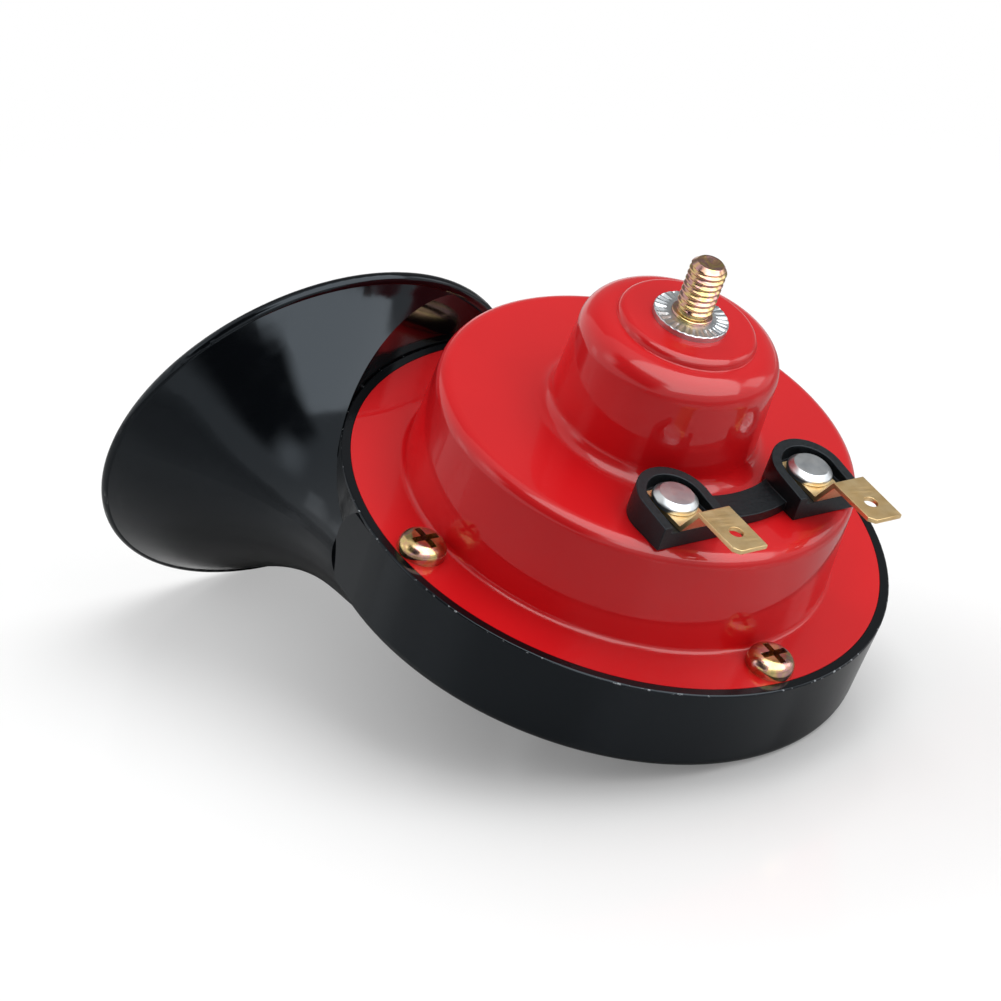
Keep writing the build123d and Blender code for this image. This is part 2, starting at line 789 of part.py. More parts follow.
with BuildPart() as inner_insulator:
    with BuildSketch(turned_plane(terminal_angle, inner_insulator_under)):
        with BuildLine():
            start = 90 - inner_insulator_half_angle
            outer = CenterArc((0, 0), inner_insulator_outer, start, 2 * inner_insulator_half_angle)
            inner = CenterArc((0, 0), inner_insulator_inner, start, 2 * inner_insulator_half_angle)
            Line(outer @ 0, inner @ 0)
            Line(outer @ 1, inner @ 1)
        make_face()
        with Locations(*terminal_places):
            Circle(rivet_shank_radius + fit, mode=Mode.SUBTRACT)
    extrude(amount=inner_insulator_thickness)
write(inner_insulator.part, "inner_insulator")


def terminal_tab(across):
    """Blade terminal: riveted base, slanted riser and blade, from one brass strip."""
    with BuildPart() as tab:
        with BuildSketch(upright_plane(terminal_angle, across)):
            with BuildLine():
                Polyline(
                    (terminal_reach - tab_back, tab_base_top),
                    (terminal_reach + tab_foot, tab_base_top),
                    (terminal_reach + tab_root, tab_level),
                    (terminal_reach + tab_tip, tab_level),
                )
                offset(amount=tab_thickness, side=Side.RIGHT)
            make_face()
        extrude(amount=tab_width / 2, both=True)
        tip_corners = tab.edges().filter_by(Axis.Z)
        chamfer(tip_corners.group_by(Axis.Y)[-1], tab_chamfer)
        fillet(tip_corners.group_by(Axis.Y)[0], tab_width / 2 - fit)
        with BuildSketch(turned_plane(terminal_angle, tab_level)):
            with Locations((across, terminal_reach + tab_hole)):
                Circle(tab_hole_radius)
        extrude(amount=-tab_thickness, mode=Mode.SUBTRACT)
        with BuildSketch(turned_plane(terminal_angle, tab_base_top)):
            with Locations((across, terminal_reach)):
                Circle(rivet_shank_radius)
        extrude(amount=-tab_thickness, mode=Mode.SUBTRACT)
    return tab.part


def terminal_rivet(across):
    """Rivet with a flat, bevelled head above and a spread tail below."""
    with BuildPart() as rivet:
        with BuildSketch(upright_plane(terminal_angle, across)):
            with BuildLine():
                Polyline(
                    (terminal_reach, rivet_tail_top - rivet_tail_height),
                    (terminal_reach + rivet_tail_radius, rivet_tail_top - rivet_tail_height),
                    (terminal_reach + rivet_tail_radius, rivet_tail_top),
                    (terminal_reach + rivet_shank_radius, rivet_tail_top),
                    (terminal_reach + rivet_shank_radius, tab_base_top),
                    (terminal_reach + rivet_head_radius, tab_base_top),
                    (terminal_reach + rivet_head_radius, tab_base_top + rivet_rim_height),
                    (terminal_reach + rivet_flat_radius, tab_base_top + rivet_head_height),
                    (terminal_reach, tab_base_top + rivet_head_height),
                    close=True,
                )
            make_face()
        place = turned_plane(terminal_angle).from_local_coords((across, terminal_reach, 0))
        revolve(axis=Axis(place, (0, 0, 1)))
    return rivet.part


write(terminal_tab(terminal_spread), "terminal_tab_left")
write(terminal_tab(-terminal_spread), "terminal_tab_right")
write(terminal_rivet(terminal_spread), "terminal_rivet_left")
write(terminal_rivet(-terminal_spread), "terminal_rivet_right")

# ------------------------------------------------------------------ leads
wire_end = step_under + wire_end_rise
loop_start_x = terminal_spread - loop_radius
with BuildPart() as coil_lead_terminal:
    with BuildLine(turned_plane(terminal_angle)) as lead:
        FilletPolyline(
            (loop_start_x, terminal_reach, loop_level),
            (loop_start_x, terminal_reach - bend_out, loop_level),
            (loop_start_x, terminal_reach - bend_in, wire_level),
            (lead_x, lead_y, wire_level),
            (lead_x, lead_y, wire_end),
            radius=wire_bend,
        )
    with BuildSketch(lead.line ^ 0):
        Circle(wire_radius)
    sweep(path=lead.line)
    with Locations(turned_plane(terminal_angle, loop_level)):
        with Locations((terminal_spread, terminal_reach)):
            Torus(loop_radius, wire_radius)
write(coil_lead_terminal.part, "coil_lead_terminal")

with BuildPart() as coil_lead_breaker:
    with BuildLine(turned_plane(breaker_angle)) as lead:
        FilletPolyline(
            (-breaker_width / 2, breaker_reach, wire_level),
            (-lead_x, breaker_reach, wire_level),
            (-lead_x, lead_y, wire_level),
            (-lead_x, lead_y, wire_end),
            radius=wire_bend,
        )
    with BuildSketch(lead.line ^ 0):
        Circle(wire_radius)
    sweep(path=lead.line)
write(coil_lead_breaker.part, "coil_lead_breaker")

# The breaker's own lead leaves the arm and runs round the chamber to the other terminal.
arm_middle = arm_under + arm_thickness / 2
lead_halfway = (arm_middle + loop_level) / 2
lead_start = turned_plane(breaker_angle, arm_middle).from_local_coords(
    (breaker_width / 2, breaker_reach, 0)
)
loop_reach = rivet_circle + loop_radius
loop_angle = terminal_angle + degrees(atan2(terminal_spread, terminal_reach))


def round_the_chamber(angle, radius, height):
    """Point at this angle round the stud's axis."""
    return (radius * cos(radians(angle)), radius * sin(radians(angle)), height)


def clockwise(angle):
    """Direction of a clockwise run round the stud's axis, seen from the stud's tip."""
    return (sin(radians(angle)), -cos(radians(angle)), 0)


with BuildPart() as breaker_lead:
    with BuildLine() as lead:
        Spline(
            lead_start,
            round_the_chamber(breaker_angle - lead_leaves, breaker_lead_radius, arm_middle),
            round_the_chamber(breaker_angle - lead_middle, breaker_lead_radius, arm_middle),
            round_the_chamber(breaker_angle - lead_rises, breaker_lead_radius, lead_halfway),
            round_the_chamber(loop_angle, loop_reach, loop_level),
            tangents=(clockwise(breaker_angle), clockwise(loop_angle)),
        )
    with BuildSketch(lead.line ^ 0):
        Circle(wire_radius)
    sweep(path=lead.line)
    with Locations(turned_plane(terminal_angle, loop_level)):
        with Locations((-terminal_spread, terminal_reach)):
            Torus(loop_radius, wire_radius)
write(breaker_lead.part, "breaker_lead")
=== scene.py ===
# %% [markdown]
# # Snail horn
# An electric car horn: a moulded black trumpet, a pressed red steel cover, a fixing stud and
# two blade terminals. The packed solids are loaded first and never moved. Each outside piece
# is then modelled again with finer edges, in the same place, and given its real finish.

# %% Load the fixed frame
import bmesh
import bpy
from math import atan2, cos, pi, radians, sin, tan
from mathutils import Matrix, Vector


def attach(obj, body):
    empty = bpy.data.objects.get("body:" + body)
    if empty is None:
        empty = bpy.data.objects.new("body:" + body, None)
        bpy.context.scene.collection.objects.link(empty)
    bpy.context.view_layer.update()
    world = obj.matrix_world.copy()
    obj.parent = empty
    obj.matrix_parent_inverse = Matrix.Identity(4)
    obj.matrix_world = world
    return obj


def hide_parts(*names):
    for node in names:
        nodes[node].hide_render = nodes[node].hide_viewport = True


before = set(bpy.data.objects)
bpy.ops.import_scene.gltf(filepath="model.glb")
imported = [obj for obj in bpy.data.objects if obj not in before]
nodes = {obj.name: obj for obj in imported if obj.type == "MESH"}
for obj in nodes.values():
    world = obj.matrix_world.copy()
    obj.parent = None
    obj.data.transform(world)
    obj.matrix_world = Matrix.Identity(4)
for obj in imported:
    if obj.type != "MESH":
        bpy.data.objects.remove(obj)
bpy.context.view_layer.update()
mm = 0.001
print("frame:", len(nodes), "nodes")

# %% [markdown]
# ## How it lies
# On a table the horn tips over until the bell's rim and the edge of the cup both touch. The
# table is therefore not level in the horn's own frame: its upward direction is worked out
# from the camera, which stands about 22 degrees above that table.

# %% The camera
camera_place = Vector((0.4449, 0.4916, 0.4400))
camera_right = Vector((-0.8379, 0.4660, 0.2844)).normalized()
camera_back = Vector((0.5398, 0.6299, 0.5585)).normalized()
camera_up = camera_back.cross(camera_right).normalized()
table_rise = radians(21.85)
table_up = camera_up * cos(table_rise) + camera_back * sin(table_rise)
table_front = camera_right.cross(table_up).normalized()

camera_data = bpy.data.cameras.new("camera")
camera_data.sensor_width = 36
camera_data.lens = 179.8
camera = bpy.data.objects.new("camera", camera_data)
turn = Matrix((camera_right, camera_up, camera_back)).transposed().to_4x4()
camera.matrix_world = Matrix.Translation(camera_place) @ turn
bpy.context.scene.collection.objects.link(camera)
bpy.context.scene.camera = camera
bpy.context.scene.view_settings.view_transform = "Standard"
print("camera looks along", [round(-c, 3) for c in camera_back])

# %% [markdown]
# ## Shader helpers
# Every finish below is a small network of nodes. One function adds a node of any kind, sets
# what it is told to, joins the inputs that are given another node's output, and fills in a
# colour ramp's stops. The others turn colour codes to linear light and set up the shader.

# %% Add a node
def add_node(material, kind, inputs=None, stops=(), **settings):
    """Adds one node with its settings, its values and links, and a ramp's stops."""
    made = material.node_tree.nodes.new("ShaderNode" + kind)
    for name, value in settings.items():
        setattr(made, name, value)
    for name, value in (inputs or {}).items():
        socket = next(s for s in made.inputs if name in (s.identifier, s.name))
        if isinstance(value, bpy.types.NodeSocket):
            material.node_tree.links.new(value, socket)
        else:
            socket.default_value = value
    for index, (position, tone) in enumerate(stops):
        elements = made.color_ramp.elements
        element = elements[index] if index < len(elements) else elements.new(position)
        element.position = position
        element.color = tone
    return made


print("add_node:", add_node.__doc__)


# %% Colours and the Principled shader
def colour(code):
    """Linear colour of an sRGB hex code such as C8141A."""
    parts = [int(code[i:i + 2], 16) / 255 for i in (0, 2, 4)]
    return [p / 12.92 if p <= 0.04045 else ((p + 0.055) / 1.055) ** 2.4 for p in parts] + [1.0]


def grey(level):
    """A plain level from 0 to 1 as a ramp's colour."""
    return [level, level, level, 1.0]


def new_material(name, base, **shader):
    """Material with one Principled shader, its plain values set on the shader's own sockets."""
    material = bpy.data.materials.new(name)
    material.use_nodes = True
    principled = material.node_tree.nodes["Principled BSDF"]
    principled.inputs["Base Color"].default_value = colour(base)
    for socket, value in shader.items():
        principled.inputs[socket.replace("_", " ")].default_value = value
    return material


def feed(material, **links):
    """Joins nodes' outputs to the Principled shader's inputs, in place of its plain values."""
    principled = material.node_tree.nodes["Principled BSDF"]
    for socket, output in links.items():
        material.node_tree.links.new(output, principled.inputs[socket.replace("_", " ")])


print("red is", [round(c, 3) for c in colour("C8141A")])

# %% [markdown]
# ## Red enamel on steel
# The cover is pressed from sheet steel, sprayed and baked. Baked enamel is a coloured coat
# under its own hard gloss, so it takes a base colour and a clear coat. Spray leaves faint
# orange peel: shallow waves about 2 mm apart, which only bend the highlights. The film is a
# little thicker in some places than in others, so the red drifts over about 30 mm.

# %% Baked enamel
peel_size = 2.0 * mm
film_size = 30 * mm
enamel = new_material(
    "red_baked_enamel", "C8141A",
    Roughness=0.35, IOR=1.5, Specular_IOR_Level=0.1, Coat_Weight=0.75, Coat_Roughness=0.03,
    Coat_IOR=1.45,
)
where = add_node(enamel, "TexCoord").outputs["Object"]
peel = add_node(enamel, "TexNoise", {"Vector": where, "Scale": 1 / peel_size, "Detail": 1.0})
film = add_node(enamel, "TexNoise", {"Vector": where, "Scale": 1 / film_size, "Detail": 2.0})
reds = add_node(
    enamel, "ValToRGB", {"Fac": film.outputs["Fac"]},
    stops=[(0.35, colour("C20E15")), (0.7, colour("CC1218"))],
)
under_waves = add_node(
    enamel, "Bump", {"Height": peel.outputs["Fac"], "Distance": 0.004 * mm, "Strength": 1.0},
)
top_waves = add_node(
    enamel, "Bump", {"Height": peel.outputs["Fac"], "Distance": 0.0025 * mm, "Strength": 1.0},
)
feed(
    enamel, Base_Color=reds.outputs["Color"], Normal=under_waves.outputs["Normal"],
    Coat_Normal=top_waves.outputs["Normal"],
)
print("material", enamel.name)

# %% [markdown]
# ## Glossy black ABS
# Cup and trumpet are injection moulded in a polished tool, so the plastic is nearly a black
# mirror with a cold, bluish gloss. What tells it from glass is a faint waviness from
# shrinkage, about 12 mm across, and rub marks that dull it in patches. Along the cup's rim
# the plastic is painted pale in short dashes a millimetre or two long. This is a painted
# highlight that stands for glints on the mould flash.

# %% Moulded ABS
sink_size = 12 * mm
rub_size = 4 * mm
plastic = new_material(
    "black_abs", "080A0D", Roughness=0.12, IOR=1.46, Specular_IOR_Level=0.34,
    Specular_Tint=colour("E3F2FF"),
)
where = add_node(plastic, "TexCoord").outputs["Object"]
sink = add_node(plastic, "TexNoise", {"Vector": where, "Scale": 1 / sink_size, "Detail": 1.0})
rub = add_node(plastic, "TexNoise", {"Vector": where, "Scale": 1 / rub_size, "Detail": 4.0})
dulled = add_node(
    plastic, "ValToRGB", {"Fac": rub.outputs["Fac"]},
    stops=[(0.4, grey(0.08)), (0.75, grey(0.18))],
)
waves = add_node(
    plastic, "Bump", {"Height": sink.outputs["Fac"], "Distance": 0.02 * mm, "Strength": 1.0},
)
feed(plastic, Roughness=dulled.outputs["Color"], Normal=waves.outputs["Normal"])
print("material", plastic.name)

# %% [markdown]
# ### Painted glints on the rim
# A painted highlight is placed in three steps: how near a point is to the rim's outer edge,
# how near it is to the rim's top, and whether a noise a millimetre coarse is strong there.
# The product of the three paints the black plastic pale in short dashes, as glints.

# %% Painted glints on the rim
rim_reach = 45.58 * mm
rim_height = -0.1 * mm
glint_size = 1.0 * mm
level_with = add_node(
    plastic, "VectorMath", {"Vector": where, "Vector_001": (1, 1, 0)}, operation="MULTIPLY",
)
from_axis = add_node(
    plastic, "VectorMath", {"Vector": level_with.outputs["Vector"]}, operation="LENGTH",
)
at_rim = add_node(
    plastic, "Math",
    {"Value": from_axis.outputs["Value"], "Value_001": rim_reach, "Value_002": 0.1 * mm},
    operation="COMPARE",
)
heights = add_node(plastic, "SeparateXYZ", {"Vector": where})
at_top = add_node(
    plastic, "Math",
    {"Value": heights.outputs["Z"], "Value_001": rim_height, "Value_002": 0.15 * mm},
    operation="COMPARE",
)
# painted highlight: a fine noise picks out short dashes along the rim's outer top edge
glints = add_node(
    plastic, "TexNoise", {"Vector": where, "Scale": 1 / glint_size, "Detail": 4.0},
)
glint_dashes = add_node(
    plastic, "ValToRGB", {"Fac": glints.outputs["Fac"]},
    stops=[(0.60, grey(0)), (0.70, grey(0.6))],
)
on_edge = add_node(
    plastic, "Math",
    {"Value": at_rim.outputs["Value"], "Value_001": at_top.outputs["Value"]},
    operation="MULTIPLY",
)
painted_glints = add_node(
    plastic, "Math",
    {"Value": on_edge.outputs["Value"], "Value_001": glint_dashes.outputs["Color"]},
    operation="MULTIPLY",
)
# painted highlight: the dashes are painted pale into the plastic's base colour
blacks = add_node(
    plastic, "ValToRGB", {"Fac": painted_glints.outputs["Value"]},
    stops=[(0.0, colour("080A0D")), (1.0, colour("C4C9CE"))],
)
feed(plastic, Base_Color=blacks.outputs["Color"])
print("knocks within", round(rim_reach / mm, 2), "mm of the axis")

# %% [markdown]
# ## Yellow chromated zinc
# Screws and stud are zinc plated and passivated in yellow chromate. The film is thin enough
# to interfere with light, so the gold drifts to pink and olive over a few millimetres.

# %% Yellow zinc
film_size = 2.4 * mm
grain_size = 0.6 * mm
yellow_zinc = new_material("yellow_chromated_zinc", "BBA673", Metallic=1.0, Roughness=0.2)
where = add_node(yellow_zinc, "TexCoord").outputs["Object"]
film = add_node(
    yellow_zinc, "TexNoise",
    {"Vector": where, "Scale": 1 / film_size, "Detail": 3.0, "Distortion": 0.8},
)
grain = add_node(
    yellow_zinc, "TexNoise", {"Vector": where, "Scale": 1 / grain_size, "Detail": 2.0},
)
golds = add_node(
    yellow_zinc, "ValToRGB", {"Fac": film.outputs["Fac"]},
    stops=[
        (0.30, colour("A69C6C")), (0.42, colour("CBB178")), (0.52, colour("C49B7C")),
        (0.60, colour("B58A8B")), (0.70, colour("BDAB77")),
    ],
)
satin = add_node(
    yellow_zinc, "ValToRGB", {"Fac": grain.outputs["Fac"]},
    stops=[(0.3, grey(0.15)), (0.7, grey(0.27))],
)
pits = add_node(
    yellow_zinc, "Bump",
    {"Height": grain.outputs["Fac"], "Distance": 0.002 * mm, "Strength": 1.0},
)
feed(
    yellow_zinc, Base_Color=golds.outputs["Color"], Roughness=satin.outputs["Color"],
    Normal=pits.outputs["Normal"],
)
print("material", yellow_zinc.name)

# %% [markdown]
# ## Bright zinc
# Washer and rivets are zinc plated and passivated clear: a cool silver, a little milky, with
# the fine grain of the rolled steel showing through.

# %% Bright zinc
blush_size = 3 * mm
scuff_size = 0.9 * mm
bright_zinc = new_material("clear_passivated_zinc", "C2C6C9", Metallic=1.0, Roughness=0.2)
where = add_node(bright_zinc, "TexCoord").outputs["Object"]
blush = add_node(
    bright_zinc, "TexNoise", {"Vector": where, "Scale": 1 / blush_size, "Detail": 3.0},
)
scuff = add_node(
    bright_zinc, "TexNoise", {"Vector": where, "Scale": 1 / scuff_size, "Detail": 2.0},
)
silvers = add_node(
    bright_zinc, "ValToRGB", {"Fac": blush.outputs["Fac"]},
    stops=[(0.35, colour("B4BABF")), (0.65, colour("CFD2D3"))],
)
satin = add_node(
    bright_zinc, "ValToRGB", {"Fac": scuff.outputs["Fac"]},
    stops=[(0.35, grey(0.31)), (0.7, grey(0.38))],
)
pits = add_node(
    bright_zinc, "Bump",
    {"Height": scuff.outputs["Fac"], "Distance": 0.001 * mm, "Strength": 1.0},
)
feed(
    bright_zinc, Base_Color=silvers.outputs["Color"], Roughness=satin.outputs["Color"],
    Normal=pits.outputs["Normal"],
)
print("material", bright_zinc.name)

# %% [markdown]
# ## Satin black nylon
# The terminal insulator is moulded in glass-filled nylon. The fibres near the surface leave a
# dry, satin grain about 0.3 mm coarse, drawn here at 0.5 mm so that it shows.

# %% Glass-filled nylon
fibre_size = 0.5 * mm
nylon = new_material(
    "black_filled_nylon", "08090B", Roughness=0.42, IOR=1.53, Specular_IOR_Level=0.3,
    Specular_Tint=colour("E3F2FF"),
)
where = add_node(nylon, "TexCoord").outputs["Object"]
fibre = add_node(nylon, "TexNoise", {"Vector": where, "Scale": 1 / fibre_size, "Detail": 3.0})
blacks = add_node(
    nylon, "ValToRGB", {"Fac": fibre.outputs["Fac"]},
    stops=[(0.3, colour("060708")), (0.75, colour("101214"))],
)
satin = add_node(
    nylon, "ValToRGB", {"Fac": fibre.outputs["Fac"]},
    stops=[(0.3, grey(0.34)), (0.7, grey(0.5))],
)
pits = add_node(
    nylon, "Bump", {"Height": fibre.outputs["Fac"], "Distance": 0.012 * mm, "Strength": 1.0},
)
feed(
    nylon, Base_Color=blacks.outputs["Color"], Roughness=satin.outputs["Color"],
    Normal=pits.outputs["Normal"],
)
print("material", nylon.name)

# %% [markdown]
# ## Rolled brass
# The blades are stamped from rolled brass strip. Rolling draws fine lines along the strip and
# leaves an even satin. The lines are some hundredths of a millimetre apart, and are drawn
# 0.2 mm apart so that they show at all. A Mapping node turns them to run along the blades.

# %% Rolled brass
strip_angle = radians(97.5)
line_spacing = 0.2 * mm
tarnish_size = 2.5 * mm
brass = new_material("rolled_brass", "DDBE84", Metallic=1.0, Roughness=0.34)
where = add_node(brass, "TexCoord").outputs["Object"]
along_strip = add_node(
    brass, "Mapping",
    {"Vector": where, "Rotation": (0, 0, -strip_angle), "Scale": (0.05, 1.0, 1.0)},
    vector_type="POINT",
)
roll_lines = add_node(
    brass, "TexNoise",
    {"Vector": along_strip.outputs["Vector"], "Scale": 1 / line_spacing, "Detail": 2.0},
)
tarnish = add_node(
    brass, "TexNoise", {"Vector": where, "Scale": 1 / tarnish_size, "Detail": 3.0},
)
yellows = add_node(
    brass, "ValToRGB", {"Fac": tarnish.outputs["Fac"]},
    stops=[(0.3, colour("DDBB83")), (0.7, colour("ECD19F"))],
)
satin = add_node(
    brass, "ValToRGB", {"Fac": roll_lines.outputs["Fac"]},
    stops=[(0.3, grey(0.3)), (0.7, grey(0.42))],
)
lines = add_node(
    brass, "Bump",
    {"Height": roll_lines.outputs["Fac"], "Distance": 0.0012 * mm, "Strength": 1.0},
)
feed(
    brass, Base_Color=yellows.outputs["Color"], Roughness=satin.outputs["Color"],
    Normal=lines.outputs["Normal"],
)
print("material", brass.name)

# %% [markdown]
# ## The finishes inside
# These pieces are sealed in the housing. Each still gets what it is made of, so that a cut
# or opened horn reads rightly. One function makes them all, because each is only two states
# of one material, in colour and in gloss, with the size of its own grain.

# %% A finish in two states
def mottled(name, low, high, size, depth, rough, **shader):
    """Finish whose colour and gloss wander between two states over this many metres."""
    made = new_material(name, low, Roughness=rough, **shader)
    where = add_node(made, "TexCoord").outputs["Object"]
    spots = add_node(made, "TexNoise", {"Vector": where, "Scale": 1 / size, "Detail": 3.0})
    tones = add_node(
        made, "ValToRGB", {"Fac": spots.outputs["Fac"]},
        stops=[(0.3, colour(low)), (0.7, colour(high))],
    )
    gloss = add_node(
        made, "ValToRGB", {"Fac": spots.outputs["Fac"]},
        stops=[(0.3, grey(rough * 0.8)), (0.7, grey(rough * 1.2))],
    )
    relief = add_node(
        made, "Bump", {"Height": spots.outputs["Fac"], "Distance": depth, "Strength": 1.0},
    )
    feed(
        made, Base_Color=tones.outputs["Color"], Roughness=gloss.outputs["Color"],
        Normal=relief.outputs["Normal"],
    )
    return made


print("mottled:", mottled.__doc__)

# %% Inside finishes
paper = mottled("gasket_fibre_paper", "6E5A43", "8A7355", 0.6 * mm, 0.03 * mm, 0.85)
spring = mottled("blued_spring_steel", "7F868C", "A3A8AB", 2 * mm, 0.004 * mm, 0.3, Metallic=1.0)
iron = mottled("soft_iron", "6F6C69", "8E8A86", 1 * mm, 0.01 * mm, 0.45, Metallic=1.0)
phenolic = mottled("phenolic_paper", "5A3420", "73452B", 0.8 * mm, 0.01 * mm, 0.5)
bobbin = mottled("natural_nylon", "D9D4C6", "E6E2D6", 3 * mm, 0.01 * mm, 0.45)
wire = mottled(
    "enamelled_copper_wire", "9A4A24", "B7602F", 0.5 * mm, 0.01 * mm, 0.3, Metallic=1.0,
)
silver = mottled("silver_contact", "C6C3BC", "DEDBD3", 0.5 * mm, 0.004 * mm, 0.25, Metallic=1.0)

finishes = {
    "red_enamel": enamel,
    "black_plastic": plastic,
    "yellow_zinc": yellow_zinc,
    "bright_zinc": bright_zinc,
    "black_nylon": nylon,
    "brass": brass,
    "gasket_paper": paper,
    "spring_steel": spring,
    "soft_iron": iron,
    "phenolic": phenolic,
    "white_nylon": bobbin,
    "enamelled_copper": wire,
    "contact_metal": silver,
}
for thing in nodes.values():
    for slot in thing.material_slots:
        slot.material = finishes[slot.material.name]
print("finishes:", len(finishes))

# %% [markdown]
# ## How a turned piece is made
# Most of the horn is round. A turned piece starts as a wire of a few corners, each corner is
# rounded by a vertex bevel, and a spin carries the wire right round the stud's axis. That
# gives even quads, on which a gloss flows without breaks.

# %% Wire and spin
def rounded_wire(corners, segments=8):
    """Open wire in the XZ plane through (reach, height, rounding) corners, in millimetres."""
    wire = bmesh.new()
    points = [Vector((reach, 0, height)) * mm for reach, height, _ in corners]
    ends = [wire.verts.new(point) for point in points]
    for pair in zip(ends, ends[1:]):
        wire.edges.new(pair)
    inner = zip(points, points[1:], points[2:], ends[1:], corners[1:])
    for before, here, after, vert, corner in inner:
        if corner[2]:
            opening = (before - here).angle(after - here)
            bmesh.ops.bevel(
                wire, geom=[vert], offset=corner[2] * mm / tan(opening / 2),
                offset_type="OFFSET", segments=segments, profile=0.5, affect="VERTICES",
                material=-1,
            )
    return wire


def spun(wire, steps=128):
    """Carries a wire right round the stud's axis and closes it."""
    bmesh.ops.spin(
        wire, geom=wire.verts[:] + wire.edges[:], cent=(0, 0, 0), axis=(0, 0, 1),
        angle=2 * pi, steps=steps, use_merge=True,
    )
    bmesh.ops.remove_doubles(wire, verts=wire.verts, dist=0.001 * mm)
    bmesh.ops.recalc_face_normals(wire, faces=wire.faces)
    return wire


print("rounded_wire:", rounded_wire.__doc__)
print("spun:", spun.__doc__)

# %% [markdown]
# ## From a shape to a piece of the horn
# Flat pieces start from a merged copy of their solid, whose sharp edges are then rounded. A
# finished shape of either sort is dressed: it is shaded smooth up to its creases, gets its
# finish, rides with the horn and takes its solid's place.

# %% Soften and dress
def softened(node, width, segments=2, crease=30):
    """Copy of a packed solid whose sharp edges are rounded by this much, in millimetres."""
    shape = bmesh.new()
    shape.from_mesh(nodes[node].data)
    bmesh.ops.remove_doubles(shape, verts=shape.verts, dist=0.001 * mm)
    bmesh.ops.dissolve_limit(
        shape, angle_limit=radians(1), verts=shape.verts, edges=shape.edges,
    )
    sharp = [e for e in shape.edges if e.is_manifold and e.calc_face_angle() > radians(crease)]
    bmesh.ops.bevel(
        shape, geom=sharp, offset=width * mm, offset_type="OFFSET", segments=segments,
        profile=0.5, affect="EDGES", material=-1, clamp_overlap=True,
    )
    return shape


def dress(shape, name, node, slot, crease=35):
    """Makes a finished piece of the horn that stands for a packed solid."""
    for face in shape.faces:
        face.smooth = True
    for edge in shape.edges:
        edge.smooth = len(edge.link_faces) == 2 and edge.calc_face_angle() < radians(crease)
    data = bpy.data.meshes.new(name)
    shape.to_mesh(data)
    shape.free()
    piece = bpy.data.objects.new(name, data)
    bpy.context.scene.collection.objects.link(piece)
    data.materials.append(finishes[slot])
    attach(piece, "root")
    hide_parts(node)
    print(name, len(data.polygons), "faces")
    return piece


def even_normals(piece):
    """Keeps the flats flat beside their rounded edges."""
    modifier = piece.modifiers.new("even_normals", "WEIGHTED_NORMAL")
    modifier.keep_sharp = True


print("softened:", softened.__doc__)
print("dress:", dress.__doc__)

# %% [markdown]
# ## The pressed cover
# A disc of 1 mm steel is drawn in two steps: a wide drum over the breaker and a narrow cap
# over the coil, with a raised seat for the stud. It is one skin, so the outside is spun
# first and then given its thickness inwards.

# %% The red cover
sheet_thickness = 1.0
flange_reach = 44.0
drum_reach = 35.3
drum_height = 17.7
drum_lean = 0.8
cap_reach = 16.9
cap_height = 36.2
cap_lean = 0.7
seat_reach = 11.4
seat_height = 37.7
seat_lean = 0.4
cover_hole = 3.1

cover = spun(rounded_wire((
    (flange_reach, 0.0, 0),
    (drum_reach, 0.0, 0.9),
    (drum_reach - drum_lean, drum_height, 2.4),
    (cap_reach, drum_height, 2.6),
    (cap_reach - cap_lean, cap_height, 4.4),
    (seat_reach, cap_height, 0.25),
    (seat_reach - seat_lean, seat_height, 1.3),
    (cover_hole, seat_height, 0),
), segments=12), steps=192)
if cover.faces[0].normal.z < 0:
    bmesh.ops.reverse_faces(cover, faces=cover.faces)
bmesh.ops.solidify(cover, geom=cover.faces, thickness=sheet_thickness * mm)
dress(cover, "red_cover", "shell", "red_enamel")

# %% [markdown]
# ## The fixing stud
# An M6 stud with a rolled thread, 1 mm from turn to turn. One turn's profile is carried up
# a helix, so each turn's top meets the next one's bottom. The ends are then cut flat and
# the crests drawn in to a chamfer. Below the thread come a plain neck and a swaged bead.

# %% The stud's sizes
washer_top = 38.75
neck_top = 39.95
stud_tip = 48.55
stud_radius = 3.0
neck_radius = 2.6
chamfer = 0.9
pitch = 1.0
turns = 11
turn_steps = 72
turn_profile = (
    (2.50, 0.00), (2.53, 0.10), (2.80, 0.28), (2.94, 0.38), (2.99, 0.50), (2.94, 0.62),
    (2.80, 0.72), (2.53, 0.90), (2.50, 1.00),
)
thread_start = neck_top - 1.5 * pitch
print("thread from", neck_top, "to", stud_tip, "mm above the flange")

# %% The thread
def capped_between(shape, low, high):
    """Cuts a shape off flat at two heights, in millimetres, and closes it."""
    for height, up in ((low, -1), (high, 1)):
        bmesh.ops.bisect_plane(
            shape, geom=shape.verts[:] + shape.edges[:] + shape.faces[:],
            plane_co=(0, 0, height * mm), plane_no=(0, 0, up), clear_outer=True,
        )
    bmesh.ops.holes_fill(shape, edges=[e for e in shape.edges if e.is_boundary], sides=0)


thread = bmesh.new()
ends = [
    thread.verts.new((reach * mm, 0, (thread_start + rise) * mm)) for reach, rise in turn_profile
]
for pair in zip(ends, ends[1:]):
    thread.edges.new(pair)
bmesh.ops.spin(
    thread, geom=thread.verts[:] + thread.edges[:], cent=(0, 0, 0), axis=(0, 0, 1),
    dvec=(0, 0, pitch * mm / turn_steps), angle=2 * pi * turns, steps=turn_steps * turns,
)
bmesh.ops.remove_doubles(thread, verts=thread.verts, dist=0.002 * mm)
bmesh.ops.recalc_face_normals(thread, faces=thread.faces)
capped_between(thread, neck_top, stud_tip)
print("thread", len(thread.faces), "faces")

